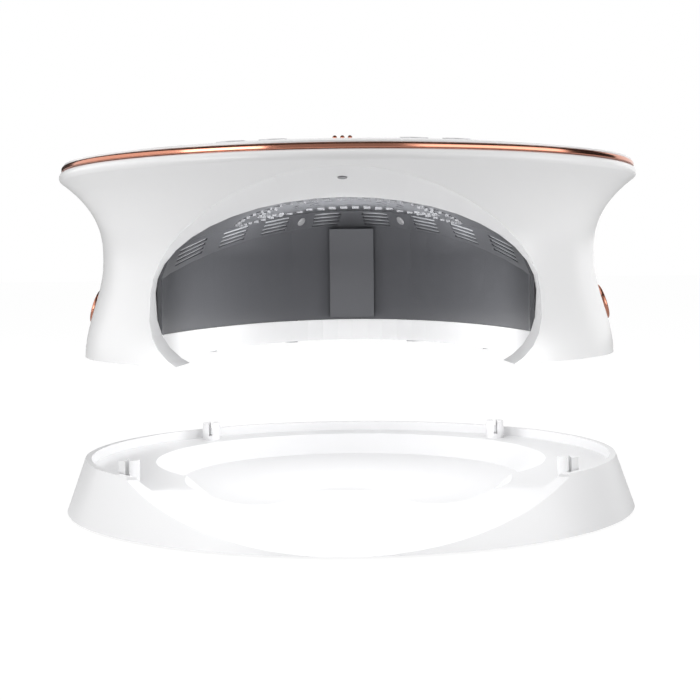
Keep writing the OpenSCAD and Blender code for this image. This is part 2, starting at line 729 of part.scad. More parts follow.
// Reflector and lights
module reflector() color([0.55, 0.56, 0.58]) in_head() {
    difference() {
        cavity(liner_wall, arch_front - seat_gap, liner_bottom);
        cavity(0, arch_front + 10, liner_bottom - 5);
        all_windows() slot_row(slot_cut, -2.5);
        mirrored() at_window(rivet_angle) translate([0, 0, -2]) cylinder(r = rivet_hole + seat_gap, h = 8, $fn = 24);
        for (i = [0 : grille_n - 1]) {
            translate([0, fan_y, 40]) rotate([0, 0, 360 * i / grille_n])
                translate([grille_r1, 0, 0]) grille_hole(4.6);
            translate([0, fan_y, 40]) rotate([0, 0, 360 * (i + 0.5) / grille_n])
                translate([grille_r2, 0, 0]) grille_hole(6.4);
        }
        lens_bars(2, shell_h, seat_gap);
        translate([-duct_cover_w / 2 + 3, cavity_back - 5, duct_cover_low + 2])
            cube([duct_cover_w - 6, 12, 15]);
    }
    for (p = liner_screw_places) difference() {
        translate([p[0], p[1], frame_top + seat_gap]) cylinder(r = liner_boss_r, h = liner_boss_h);
        translate([p[0], p[1], frame_top]) cylinder(r = screw_hole, h = 10);
        cavity(liner_wall / 2, arch_front, 0);
    }
    for (p = fan_boss_places) translate([p[0], p[1], ceiling_at(p[0]) + 0.8]) difference() {
        cylinder(r = fan_boss_r, h = fan_low - seat_gap - ceiling_at(p[0]) - 0.8, $fn = 24);
        translate([0, 0, 1.2]) cylinder(r = 1.1, h = 20, $fn = 24);
    }
    for (p = driver_boss_places) translate([p[0], p[1], ceiling_at(p[0]) + 0.8]) difference() {
        cylinder(r = board_boss_r, h = driver_low - seat_gap - ceiling_at(p[0]) - 0.8, $fn = 24);
        translate([0, 0, 1.2]) cylinder(r = 1, h = 20, $fn = 24);
    }
}
module grille_hole(l) translate([-grille_slot / 2, -l / 2, 0]) cube([grille_slot, l, 40]);

module duct_cover() color([0.5, 0.51, 0.53]) in_head() {
    w = duct_cover_w;
    front = cavity_back - duct_cover_d;
    difference() {
        translate([-w / 2, front, duct_cover_low])
            cube([w, duct_cover_d + 6, duct_cover_top - duct_cover_low]);
        translate([-w / 2 + duct_cover_wall, front + duct_cover_wall, duct_cover_low + duct_cover_wall])
            cube([w - 2 * duct_cover_wall, duct_cover_d + 6,
                duct_cover_top - duct_cover_low - 2 * duct_cover_wall]);
        difference() {
            translate([-w, front - 1, duct_cover_low - 1]) cube([2 * w, 20, 60]);
            cavity(-seat_gap, arch_front + 10, liner_bottom - 5);
        }
    }
}
module window_plate(low, t) translate([-$long / 2 - guide_edge, -slot_count * slot_pitch / 2 - 0.6, low])
    cube([$long + 2 * guide_edge, slot_count * slot_pitch + 1.2, t]);
module light_guides() color([0.9, 0.92, 0.95]) in_head() all_windows() {
    window_plate(guide_low, guide_t);
    slot_row(guide_rib, guide_low + 0.1 - guide_rib, 2 * seat_gap);
}
module led_bars() color([0.85, 0.87, 0.85]) in_head() all_windows() {
    dies = round($long / 5);
    window_plate(guide_low + guide_t + seat_gap + die_h - eps, bar_t);
    for (i = [0 : dies - 1]) translate([$long * ((i + 0.5) / dies - 0.5), 0, guide_low + guide_t + seat_gap])
        translate([-die_w / 2, -die_w / 2, 0]) cube([die_w, die_w, die_h]);
}
module led_lenses() color([0.92, 0.94, 0.98]) in_head() lens_bars(lens_proud, lens_top);
module led_ring_board() color([0.85, 0.87, 0.85]) in_head() {
    difference() {
        translate([0, fan_y, ring_low]) difference() {
            scale([lens_wide, 1, 1]) cylinder(r = lens_r2 + 2, h = ring_t, $fn = 96);
            translate([0, 0, -1]) scale([lens_wide, 1, 1])
                cylinder(r = lens_r1 - 2, h = ring_t + 2, $fn = 96);
        }
        for (p = fan_boss_places) translate([p[0], p[1], ring_low - 1])
            cylinder(r = fan_boss_r + slide_gap, h = ring_t + 2, $fn = 24);
        for (p = driver_boss_places) translate([p[0], p[1], ring_low - 1])
            cylinder(r = board_boss_r + slide_gap, h = ring_t + 2, $fn = 24);
    }
    for (p = lens_places) translate([p[0] - chip_w / 2, p[1] - chip_w / 2, ring_low - chip_h])
        cube([chip_w, chip_w, chip_h + eps]);
}
module sensor_lens() color([0.95, 0.95, 0.97]) in_head()
    translate([0, sensor_y, sensor_h]) rotate([-soffit_tilt, 0, 0]) {
        translate([0, 0, -0.3]) cylinder(r = sensor_r, h = 4.3, $fn = 32);
        translate([0, 0, collar_wall + 0.4]) cylinder(r = sensor_r + 1, h = 1, $fn = 32);
    }
module sensor_board() color([0.2, 0.45, 0.3]) in_head()
    translate([0, sensor_y, sensor_h]) rotate([-soffit_tilt, 0, 0]) {
        translate([-sensor_board_w / 2, -3.5, collar_wall + 2.8])
            cube([sensor_board_w, 9, 1.2]);
    }

// Fan
module fan_frame() color([0.15, 0.15, 0.16]) in_head() translate([0, fan_y, fan_low]) {
    difference() {
        translate([-fan_w / 2, -fan_w / 2, 0]) cube([fan_w, fan_w, fan_h]);
        translate([0, 0, -1]) cylinder(r = duct_r, h = fan_h + 2, $fn = 64);
        for (x = [-1, 1], y = [-1, 1]) translate([x * fan_hole, y * fan_hole, -1])
            cylinder(r = 1.8, h = fan_h + 2);
    }
    difference() {
        union() {
            cylinder(r = hub_r, h = 1.4);
            for (a = [45 : 90 : 315]) rotate([0, 0, a]) translate([0, -1.2, 0]) cube([duct_r + 1, 2.4, 1.4]);
        }
        translate([0, 0, -1]) cylinder(r = shaft_r + seat_gap, h = 4, $fn = 24);
    }
}
module fan_screws() color([0.7, 0.7, 0.72]) in_head() for (p = fan_boss_places)
    translate([p[0], p[1], fan_low + fan_h + 0.05]) {
        cylinder(r = 2.4, h = 1.4, $fn = 24);
        translate([0, 0, -fan_h - 2.6]) cylinder(r = 1, h = fan_h + 2.7, $fn = 24);
    }
module fan_motor() color([0.7, 0.45, 0.25]) in_head() translate([0, fan_y, fan_low]) {
    translate([0, 0, 1.4 + 0.1]) difference() {
        cylinder(r = hub_r - hub_wall - 0.9, h = 4.2);
        for (a = [0 : 60 : 300]) rotate([0, 0, a]) translate([5, -0.6, -1]) cube([6, 1.2, 7]);
    }
    cylinder(r = shaft_r, h = fan_h - 1.5, $fn = 24);
}
module fan_impeller() color([0.18, 0.18, 0.2]) in_head() translate([0, fan_y, fan_low]) {
    difference() {
        union() {
            difference() {
                translate([0, 0, 2]) cylinder(r = hub_r, h = fan_h - 2.6);
                translate([0, 0, 1]) cylinder(r = hub_r - hub_wall, h = fan_h - 3);
            }
            translate([0, 0, 6.4]) cylinder(r = 2.4, h = fan_h - 7.2);
        }
        cylinder(r = shaft_r + shaft_gap, h = fan_h - 1.3, $fn = 24);
    }
    for (i = [0 : blade_count - 1]) rotate([0, 0, 360 * i / blade_count]) intersection() {
        difference() {
            translate([0, 0, 2.4]) cylinder(r = impeller_r, h = fan_h - 3.4);
            cylinder(r = hub_r - 0.6, h = fan_h);
        }
        translate([hub_r - 2, -0.5, fan_h / 2 + 0.7]) rotate([34, 0, 0]) translate([0, -6, -0.5]) cube([30, 12, 1]);
    }
}

// Controls
module control_board() color([0.15, 0.4, 0.25]) in_head() difference() {
    translate([-control_w / 2, -key_y - control_d / 2, control_low]) cube([control_w, control_d, board_t]);
    for (p = control_screw_places) translate([p[0], p[1], control_low - 1])
        cylinder(r = clear_hole - 0.3, h = 4, $fn = 24);
}
module control_screws() color([0.7, 0.7, 0.72]) in_head() for (p = control_screw_places)
    translate([p[0], p[1], control_low - 0.05]) {
        translate([0, 0, -1.2]) cylinder(r = 2, h = 1.2, $fn = 24);
        cylinder(r = 0.9, h = 5, $fn = 24);
    }
module key_switches() color([0.2, 0.2, 0.2]) in_head() for (p = key_places)
    translate([p[0], p[1], control_top]) {
        translate([-3, -3, touch_gap]) cube([6, 6, switch_h - touch_gap]);
        cylinder(r = 1.7, h = switch_h + plunger_h, $fn = 24);
    }
module timer_key(i) color([0.9, 0.9, 0.92]) in_head() {
    p = key_places[i];
    flange_top = dome_at(p[0], p[1]) - cover_wall - flange_drop;
    intersection() {
        translate([p[0], p[1], flange_top - 0.5]) cylinder(r = key_r, h = 20);
        dome_solid(key_proud);
    }
    translate([p[0], p[1], flange_top - key_flange]) cylinder(r = key_r + 1.4, h = key_flange);
    translate([p[0], p[1], plunger_top + key_travel + 0.1])
        cylinder(r = 1.8, h = flange_top - plunger_top - key_travel - 0.6);
}
module timer_key_1() timer_key(0);
module timer_key_2() timer_key(1);
module timer_key_3() timer_key(2);
module timer_key_4() timer_key(3);
module display_window() color([0.1, 0.1, 0.12]) in_head() {
    intersection() {
        translate([-window_w / 2, -key_y - window_d / 2, window_low]) cube([window_w, window_d, 20]);
        dome_solid();
    }
    translate([-window_w / 2 - window_flange, -key_y - window_d / 2 - window_flange, window_low - flange_t])
        cube([window_w + 2 * window_flange, window_d + 2 * window_flange, flange_t + eps]);
}
module display_module() color([0.12, 0.12, 0.12]) in_head()
    translate([-window_w / 2 + 2, -key_y - window_d / 2 + 1, control_top + touch_gap])
        cube([window_w - 4, window_d - 2, display_h]);
module buzzer() color([0.1, 0.1, 0.1]) in_head()
    translate([(key_x1 + key_x2) / 2 + 0.5, -key_y + 7.4, control_top + touch_gap]) difference() {
        cylinder(r = 4, h = 4.5, $fn = 32);
        translate([0, 0, 3]) cylinder(r = 0.8, h = 3, $fn = 24);
    }

// Power
module driver_board() color([0.15, 0.4, 0.25]) in_head() difference() {
    translate([-driver_w / 2, driver_y - driver_d / 2, driver_low]) cube([driver_w, driver_d, board_t]);
    for (p = driver_boss_places) translate([p[0], p[1], driver_low - 1]) cylinder(r = 1.4, h = 4, $fn = 24);
}
module driver_screws() color([0.7, 0.7, 0.72]) in_head() for (p = driver_boss_places)
    translate([p[0], p[1], driver_top + touch_gap]) {
        cylinder(r = 2, h = 1.2, $fn = 24);
        translate([0, 0, -4.6]) cylinder(r = 0.9, h = 4.7, $fn = 24);
    }
module capacitors() color([0.15, 0.2, 0.35]) in_head() for (x = [-10, 1])
    translate([x, driver_y, driver_top + touch_gap]) cylinder(r = 4, h = 6.5, $fn = 32);
module choke() color([0.6, 0.4, 0.2]) in_head()
    translate([11.5, driver_y, driver_top + touch_gap]) difference() {
        cylinder(r = 5, h = 5, $fn = 32);
        translate([0, 0, -1]) cylinder(r = 2, h = 10, $fn = 24);
    }
module dc_jack() color([0.1, 0.1, 0.1]) in_head() translate([0, jack_face, side_h]) rotate([-90, 0, 0]) {
    difference() {
        union() {
            translate([0, 0, -8]) cylinder(r = jack_r, h = 8);
            translate([-5, -5, -jack_l]) cube([10, 10, jack_l - 5]);
        }
        translate([0, 0, -9.5]) cylinder(r = 2.75, h = 20);
    }
    translate([0, 0, -10]) cylinder(r = 1.05, h = 8.5, $fn = 24);
}

// Wires
wire_side = [0.1, 0.2, 0.05];
module wire(route, r = 0.9, sides = 8) {
    n = len(route);
    points = [for (i = [0 : n - 1], j = [0 : sides - 1])
        let (d = route[min(i + 1, n - 1)] - route[max(i - 1, 0)], t = d / norm(d),
            u = cross(t, wire_side) / norm(cross(t, wire_side)), v = cross(t, u), a = 360 * j / sides)
        route[i] + r * (u * cos(a) + v * sin(a))];
    walls = [for (i = [0 : n - 2], j = [0 : sides - 1], half = [0, 1])
        let (k = i * sides, m = (j + 1) % sides)
            half == 0 ? [k + j, k + sides + j, k + sides + m] : [k + j, k + sides + m, k + m]];
    polyhedron(points, concat([[for (j = [0 : sides - 1]) j]], walls,
        [[for (j = [0 : sides - 1]) n * sides - 1 - j]]), convexity = 10);
}
// Points on a smooth way through four guide points, straight at both ends
function curve(p, n = 10) = [for (i = [0 : n]) let (t = i / n, q = 1 - t)
    q * q * q * p[0] + 3 * q * q * t * p[1] + 3 * q * t * t * p[2] + t * t * t * p[3]];
module jack_lead() color([0.15, 0.15, 0.16]) in_head() {
    back = jack_face - 7.1;
    front = driver_y + driver_d / 2 - 2;
    wire(curve([[0, back, jack_top + 0.1], [0, back + 4, driver_top + 13.5],
        [0, front, driver_top + 10.5], [0, front, driver_top + 0.3]], 14), 1.2);
}
module fan_lead() color([0.7, 0.15, 0.12]) in_head()
    wire(curve([[10, fan_y + fan_w / 2 - 2, fan_low + fan_h + 0.1],
        [10, fan_y + fan_w / 2 - 2, fan_low + fan_h + 2], [10, driver_y - driver_d / 2 + 3, fan_low + fan_h + 2],
        [10, driver_y - driver_d / 2 + 3, driver_top + 0.1]], 12), 0.6);
module ribbon_cable() color([0.75, 0.76, 0.78]) in_head() {
    back = driver_y - driver_d / 2 + 2;
    front = -key_y + control_d / 2 - 1.4;
    translate([ribbon_x, 0, 0]) rotate([90, 0, 90]) linear_extrude(ribbon_w)
        polygon([[back, driver_top + 0.1], [back, ribbon_top - 2], [back - 2, ribbon_top],
            [front + 2, ribbon_top], [front, ribbon_top - 2], [front, driver_top + 0.1],
            [front + ribbon_t, driver_top + 0.1], [front + ribbon_t, ribbon_top - 2.4],
            [front + 2.4, ribbon_top - ribbon_t], [back - 2.4, ribbon_top - ribbon_t],
            [back - ribbon_t, ribbon_top - 2.4], [back - ribbon_t, driver_top + 0.1]]);
}
module side_lead() color([0.8, 0.8, 0.82]) in_head() {
    low = [side_r - 17, -4, side_h + 2];
    middle = [foot_r - 29.5, -30, shell_h - 6];
    end = [control_w / 2 - 3, -key_y - 4, control_top + 0.45];
    wire(concat(curve([low, low + [0, 0, 14], middle + [6, 16, -10], middle], 12),
        [for (i = [1 : 10]) curve([middle, middle + [-6, -20, 10], end + [0, 0, 5.5], end], 10)[i]]), 0.9);
}
module side_lead_right() side_lead();
module side_lead_left() mirror([1, 0, 0]) side_lead();

// Side buttons, drawn on the axis that points out of the right-hand wall
module at_side() { translate([side_r, 0, side_h]) rotate([0, 90 - side_tilt, 0]) children(); }
module side_bezel() color([0.85, 0.5, 0.38]) in_head() at_side() {
    bore = cap_r + slide_gap;
    crown = bore + 0.5;
    flange_low = bezel_seat + touch_gap;
    rotate_extrude() polygon(concat([[bore, bezel_back], [bezel_tube_r, bezel_back],
        [bezel_tube_r, flange_low], [bezel_r, flange_low]],
        [for (a = [0 : 10 : 90])
            [crown + (bezel_r - crown) * cos(a), bezel_edge + (bezel_proud - bezel_edge) * sin(a)]],
        [[bore, bezel_proud - 0.3]]));
}
module side_button() color([0.9, 0.6, 0.48]) in_head() at_side() {
    steps = 12;
    edge = bezel_proud - 0.4;
    rotate_extrude() polygon(concat([[0, bezel_back - slide_gap], [cap_r, bezel_back - slide_gap]],
        [for (i = [0 : steps]) let (k = 1 - i / steps) [cap_r * k, edge + (cap_top - edge) * (1 - pow(k, 3))]]));
    translate([0, 0, bezel_back - slide_gap - cap_flange]) cylinder(r = bezel_tube_r, h = cap_flange);
    translate([0, 0, spring_seat - 1.4]) cylinder(r = cap_stem_r, h = 8);
}
module button_spring() color([0.75, 0.75, 0.78]) in_head() at_side() {
    low = spring_seat + spring_wire;
    high = bezel_back - slide_gap - cap_flange - spring_wire - 0.1;
    coil(spring_r, spring_wire, low, high, spring_turns);
}
module coil(r, wire, low, high, turns, per_turn = 14, sides = 6) {
    n = turns * per_turn;
    points = [for (i = [0 : n], j = [0 : sides - 1])
        let (a = 360 * i / per_turn, b = 360 * j / sides, rr = r + wire * cos(b))
        [rr * cos(a), rr * sin(a), low + (high - low) * i / n + wire * sin(b)]];
    walls = [for (i = [0 : n - 1], j = [0 : sides - 1])
        let (k = i * sides, m = (j + 1) % sides) [k + j, k + m, k + sides + m, k + sides + j]];
    polyhedron(points, concat([[for (j = [0 : sides - 1]) sides - 1 - j]], walls,
        [[for (j = [0 : sides - 1]) n * sides + j]]), convexity = 10);
}
module switch_bracket() color([0.9, 0.9, 0.9]) in_head() {
    at_side() difference() {
        translate([-5, -8, spring_seat - bracket_t - 0.1]) cube([10, 16, bracket_t]);
        translate([0, 0, spring_seat - 4]) cylinder(r = cap_stem_r + slide_gap, h = 6);
    }
    difference() {
        hull() {
            at_side() translate([4, -8, spring_seat - bracket_t - 0.1]) cube([1, 16, bracket_t]);
            translate([side_r - 14, -8, frame_top + seat_gap]) cube([4, 16, 1]);
        }
        at_side() translate([0, 0, spring_seat - 4]) cylinder(r = cap_stem_r + slide_gap, h = 6);
    }
}
module side_switch() color([0.2, 0.2, 0.2]) in_head() at_side()
    translate([0, 0, spring_seat - bracket_t - 0.1]) {
        difference() {
            translate([-4, -7, -8]) cube([8, 14, 8 - 0.1]);
            translate([0, 0, -5]) cylinder(r = cap_stem_r + slide_gap, h = 10);
        }
    }
module side_bezel_right() side_bezel();
module side_bezel_left() mirror([1, 0, 0]) side_bezel();
module side_button_right() side_button();
module side_button_left() mirror([1, 0, 0]) side_button();
module button_spring_right() button_spring();
module button_spring_left() mirror([1, 0, 0]) button_spring();
module switch_bracket_right() switch_bracket();
module switch_bracket_left() mirror([1, 0, 0]) switch_bracket();
module side_switch_right() side_switch();
module side_switch_left() mirror([1, 0, 0]) side_switch();

tray_shell();
tray_base_plate();
tray_feet();
tray_screws();
outer_shell();
bottom_frame();
frame_screws();
trim_ring();
top_cover();
cover_screws();
brow_studs();
reflector();
liner_screws();
liner_rivets();
duct_cover();
light_guides();
led_bars();
led_lenses();
led_ring_board();
sensor_lens();
sensor_board();
fan_frame();
fan_screws();
fan_motor();
fan_impeller();
control_board();
control_screws();
key_switches();
display_module();
display_window();
timer_key_1();
timer_key_2();
timer_key_3();
timer_key_4();
buzzer();
driver_board();
driver_screws();
capacitors();
choke();
dc_jack();
jack_lead();
fan_lead();
ribbon_cable();
side_lead_left();
side_lead_right();
side_bezel_left();
side_bezel_right();
side_button_left();
side_button_right();
button_spring_left();
button_spring_right();
switch_bracket_left();
switch_bracket_right();
side_switch_left();
side_switch_right();
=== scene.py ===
# %% [markdown]
# A nail lamp in two pieces: a white head with a flared lip stands 40 mm above its white tray. Both
# come from a packed CAD model, which has the exact sizes and the joints. This lesson gives every
# piece its finish, and replaces the few whose soft curves a CAD mesh shows only as facets. The
# first cell loads the model.
# %% Load the lamp
import json

import bpy
import numpy as np
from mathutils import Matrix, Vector

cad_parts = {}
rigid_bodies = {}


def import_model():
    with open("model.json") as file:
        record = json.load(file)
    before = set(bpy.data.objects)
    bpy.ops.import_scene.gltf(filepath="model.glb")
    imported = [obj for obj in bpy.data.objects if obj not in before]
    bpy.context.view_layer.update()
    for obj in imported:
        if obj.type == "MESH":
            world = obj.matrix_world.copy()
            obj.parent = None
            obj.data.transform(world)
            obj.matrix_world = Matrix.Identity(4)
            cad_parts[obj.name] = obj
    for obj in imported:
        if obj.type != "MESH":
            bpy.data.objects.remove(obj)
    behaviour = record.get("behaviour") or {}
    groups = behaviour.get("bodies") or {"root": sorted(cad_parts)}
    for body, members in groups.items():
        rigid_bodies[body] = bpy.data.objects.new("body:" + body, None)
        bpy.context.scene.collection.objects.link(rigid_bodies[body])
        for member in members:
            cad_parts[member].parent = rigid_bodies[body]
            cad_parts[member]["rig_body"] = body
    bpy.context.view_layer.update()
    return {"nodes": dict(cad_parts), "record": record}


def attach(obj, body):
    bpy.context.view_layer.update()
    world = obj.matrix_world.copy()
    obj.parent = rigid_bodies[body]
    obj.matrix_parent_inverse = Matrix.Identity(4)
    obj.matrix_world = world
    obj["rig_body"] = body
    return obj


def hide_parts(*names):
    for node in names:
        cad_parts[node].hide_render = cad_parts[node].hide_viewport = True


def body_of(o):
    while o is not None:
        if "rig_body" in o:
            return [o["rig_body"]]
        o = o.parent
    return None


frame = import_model()
nodes = frame["nodes"]

# %% [markdown]
# The camera stands where the photographer stood: half a metre in front of the lamp, a little to
# the right and just above the tray's level, turned one degree to the left. A camera tilted down
# would bring the lamp to the middle of the picture, but its upright edges would lean. Here the
# picture's frame is moved down instead, so they stay upright.
# %% Camera
camera = bpy.data.objects.new("camera", bpy.data.cameras.new("camera"))
bpy.context.scene.collection.objects.link(camera)
bpy.context.scene.camera = camera
camera.data.sensor_width = 36
camera.data.lens = 63.53
camera.data.shift_y = -0.1072
camera.location = (0.01, -0.503, 0.092)
camera.rotation_euler = (np.radians(90), 0.0107, 0.0187)
camera.data.clip_start = 0.01
print("camera at", tuple(round(c, 3) for c in camera.location), "lens", round(camera.data.lens, 2))

# %% [markdown]
# Blender builds a material from nodes, and sums are hard to read when each is a node and two
# links. So a Socket stands for one output of a node, and an expression such as 1 - mask * 0.3 adds
# the Math nodes for it by itself.
# %% Shader sums
class Socket:
    """One output of a node, which the usual signs add, multiply and compare."""
    def __init__(self, finish, output):
        self.finish, self.output = finish, output

    def _math(self, operation, first, second=None):
        values = {0: first} if second is None else {0: first, 1: second}
        return self.finish.node("ShaderNodeMath", {"operation": operation}, values)

    def __add__(self, other):
        return self._math("ADD", self, other)

    def __sub__(self, other):
        return self._math("SUBTRACT", self, other)

    def __rsub__(self, other):
        return self._math("SUBTRACT", other, self)

    def __mul__(self, other):
        return self._math("MULTIPLY", self, other)

    def __truediv__(self, other):
        return self._math("DIVIDE", self, other)

    def __gt__(self, other):
        return self._math("GREATER_THAN", self, other)

    def __lt__(self, other):
        return self._math("LESS_THAN", self, other)

    def __abs__(self):
        return self._math("ABSOLUTE", self)

    def __mod__(self, other):
        return self._math("FLOORED_MODULO", self, other)

    __radd__ = __add__
    __rmul__ = __mul__


print("Socket:", Socket.__doc__)

# %% [markdown]
# A Finish holds one material. Its node method adds a node, with its settings first and its inputs
# after, and returns a Socket. The other methods are the few nodes that every finish here uses:
# noise at the Object coordinates, a mix of two colours, and a bump. Image textures could do the
# same, but these nodes need no unwrapping and stay sharp from close by.
# %% Finishes
bump_depth = 0.0002


class Finish:
    """A material with one main shader, whose inputs take numbers, colours or sockets."""
    def __init__(self, name):
        self.material = bpy.data.materials.new(name)
        self.material.use_nodes = True
        self.tree = self.material.node_tree
        self.shader = self.tree.nodes["Principled BSDF"]

    def node(self, kind, settings=None, inputs=None, out=0):
        made = self.tree.nodes.new(kind)
        for key, value in (settings or {}).items():
            setattr(made, key, value)
        for key, value in (inputs or {}).items():
            self.feed(made.inputs[key], value)
        return Socket(self, made.outputs[out])

    def feed(self, socket, value):
        if isinstance(value, Socket):
            self.tree.links.new(value.output, socket)
        else:
            socket.default_value = value

    def set(self, **values):
        for key, value in values.items():
            self.feed(self.shader.inputs[key.replace("_", " ")], value)
        return self

    def surface(self, shader):
        self.feed(self.tree.nodes["Material Output"].inputs["Surface"], shader)

    def place(self):
        return self.node("ShaderNodeTexCoord", out="Object")

    def axes(self):
        split = self.node("ShaderNodeSeparateXYZ", inputs={0: self.place()})
        return [Socket(self, output) for output in split.output.node.outputs]

    def noise(self, scale, detail=2.0):
        return self.node("ShaderNodeTexNoise", inputs={
            "Vector": self.place(), "Scale": scale, "Detail": detail})

    def mix(self, share, first, second):
        return self.node("ShaderNodeMix", {"data_type": "RGBA"},
                         {0: share, 6: first, 7: second}, out=2)

    def bump(self, height, strength):
        return self.node("ShaderNodeBump", inputs={
            "Strength": strength, "Distance": bump_depth, "Height": height})


def rgb(red, green, blue):
    return (red, green, blue, 1.0)


print("Finish:", [name for name in vars(Finish) if not name.startswith("_")])

# %% [markdown]
# The photo's ground is pure white, and so is what a polished edge mirrors of it. A surround that
# bright would also wash out the shading of a white lamp. So the world has two strengths: full
# white for what the camera, a reflection or a clear part looks at, and less for the light it casts.
# %% Surround
bpy.context.scene.view_settings.view_transform = "Standard"
world = bpy.data.worlds.new("surround")
bpy.context.scene.world = world
world.use_nodes = True
sky = world.node_tree
fill_light = 0.46
path = sky.nodes.new("ShaderNodeLightPath")
seen = path.outputs["Is Camera Ray"]
for ray in ("Is Transmission Ray", "Is Glossy Ray"):
    either = sky.nodes.new("ShaderNodeMath")
    either.operation = "MAXIMUM"
    sky.links.new(seen, either.inputs[0])
    sky.links.new(path.outputs[ray], either.inputs[1])
    seen = either.outputs[0]
level = sky.nodes.new("ShaderNodeMapRange")
level.inputs["To Min"].default_value = fill_light
sky.links.new(seen, level.inputs["Value"])
sky.links.new(level.outputs[0], sky.nodes["Background"].inputs["Strength"])
sky.nodes["Background"].inputs["Color"].default_value = rgb(1, 1, 1)
print("surround: 1 where it is seen,", fill_light, "as light")

# %% [markdown]
# The table is one white sheet, so wide that its edge is lost in the distance. Plain white paint
# would look grey wherever less light falls, so the camera sees mostly a glow, and one part in five
# of paint, which carries the lamp's shadow. The sheet lies a tenth of a millimetre below the feet,
# because two faces in one plane flicker.
# %% Table
def sheet_mesh(name, corners):
    """A flat four-cornered mesh through the given corners, in order."""
    mesh = bpy.data.meshes.new(name)
    mesh.from_pydata(corners, [], [tuple(range(len(corners)))])
    piece = bpy.data.objects.new(name, mesh)
    bpy.context.scene.collection.objects.link(piece)
    return piece


table_reach, table_top = 30.0, -0.0001
glow_strength, glow_share, paint_white = 1.17, 0.8, 0.58
table = sheet_mesh("table", [(x * table_reach, y * table_reach, table_top)
                             for x, y in ((-1, -1), (1, -1), (1, 1), (-1, 1))])
top = Finish("table_white")
paint = top.node("ShaderNodeBsdfDiffuse", inputs={"Color": rgb(*[paint_white] * 3)})
glow = top.node("ShaderNodeEmission", inputs={"Color": rgb(1, 1, 1), "Strength": glow_strength})
by_camera = top.node("ShaderNodeLightPath", out="Is Camera Ray")
top.surface(top.node("ShaderNodeMixShader", inputs={0: by_camera * glow_share, 1: paint, 2: glow}))
table.data.materials.append(top.material)
print("table:", 2 * table_reach, "m wide, top at", table_top)

# %% [markdown]
# Soft boxes do the work of the studio lights: a large one above and in front, and a low one from
# each side. They are weak enough that white plastic stays just below pure white. Four small panels
# fill the gap between head and tray and the hand cavity, as a photographer does with cards and a
# ring flash. Neither the camera nor a reflection shows any of the seven: what polished edges
# mirror is set apart from what lights the lamp, and comes in the next cell.
# %% Soft boxes
def soft_box(name, at, aim, width, height, power):
    """A rectangular light at a place, turned to another, that neither camera nor gloss shows."""
    lamp = bpy.data.lights.new(name, "AREA")
    lamp.shape, lamp.size, lamp.size_y, lamp.energy = "RECTANGLE", width, height, power
    box = bpy.data.objects.new(name, lamp)
    bpy.context.scene.collection.objects.link(box)
    box.visible_camera = box.visible_glossy = False
    box.location = at
    box.rotation_euler = (Vector(aim) - Vector(at)).to_track_quat("-Z", "Y").to_euler()


soft_box("box_above", (-0.25, -0.3, 1.3), (0, 0, 0.08), 1.2, 0.8, 6.3)
soft_box("box_left", (-1.3, -0.35, 0.14), (0, 0, 0.09), 0.6, 0.26, 8)
soft_box("box_right", (1.3, -0.3, 0.14), (0, 0, 0.09), 0.6, 0.26, 7.8)
soft_box("panel_down", (0, 0, 0.058), (0, 0, 0), 0.21, 0.18, 0.078)
soft_box("panel_ramp", (0, -0.115, 0.06), (0, -0.095, 0), 0.17, 0.05, 0.046)
soft_box("panel_in", (0, -0.05, 0.08), (0, 0.08, 0.062), 0.045, 0.03, 0.073)
soft_box("panel_up", (0, 0, 0.1), (0, 0, 0.2), 0.06, 0.06, 0.055)
print("lights:", [lamp.name for lamp in bpy.data.lights])

# %% [markdown]
# Polished metal shows whatever stands round it, and an all-white studio would make it look like
# paint. Cards that only reflections see stand for the two bright boxes in front, the unlit
# ceiling, the photographer's side and the gaps beside the lights. Plated edges then get dark lines
# next to bright ones.
# %% Cards for reflections
def card(name, corners, shade):
    """A flat glowing sheet of one shade, 0 to any strength, that only a reflection shows."""
    sheet = sheet_mesh(name, corners)
    sheet.visible_camera = sheet.visible_diffuse = sheet.visible_shadow = False
    sheet.visible_transmission = False
    lit = Finish(name)
    lit.surface(lit.node("ShaderNodeEmission", inputs={"Color": rgb(shade, shade, shade)}))
    sheet.data.materials.append(lit.material)
    print(name, "of shade", shade)


def upright(start, end, height):
    """Corners of a card that stands on the table between two places."""
    return [(*start, 0), (*end, 0), (*end, height), (*start, height)]


card("card_left", upright((-1.1, -0.7), (-0.6, -1.15), 0.35), 4.5)
card("card_bright", upright((0.55, -1.2), (1.25, -0.15), 0.35), 2.2)
card("card_ceiling", [(-1, -0.9, 0.75), (1, -0.9, 0.75), (1, 0.9, 0.75), (-1, 0.9, 0.75)], 0.06)
card("card_front", upright((-0.7, -1.3), (0.5, -1.3), 1.0), 0.3)
card("card_right", upright((1.2, -0.08), (1.2, 0.75), 0.9), 0.03)
card("card_back", upright((-1.1, 0.85), (-0.3, 1.3), 0.9), 0.05)

# %% [markdown]
# White moulded plastic is never quite even: its gloss has a faint orange peel, and its colour
# drifts by a hair over the part. Two noises give both, a slow one for the drift and a fine one for
# the peel, so one helper makes every plastic of the lamp from a colour and a roughness.
# %% Moulded plastics
slow_scale, gloss_drift = 14.0, 0.04


def moulded(name, colour, roughness, peel=0.05, drift=0.02, grain=900.0):
    """A plastic with a peel of some strength and grain, whose colour drifts by a share."""
    finish = Finish(name)
    slow = finish.noise(slow_scale)
    fine = finish.noise(grain, detail=3.0)
    darker = rgb(*[c * (1 - drift) for c in colour])
    return finish.set(Base_Color=finish.mix(slow, darker, rgb(*colour)),
                      Roughness=roughness + (slow - 0.5) * gloss_drift,
                      Normal=finish.bump(fine, peel)).material


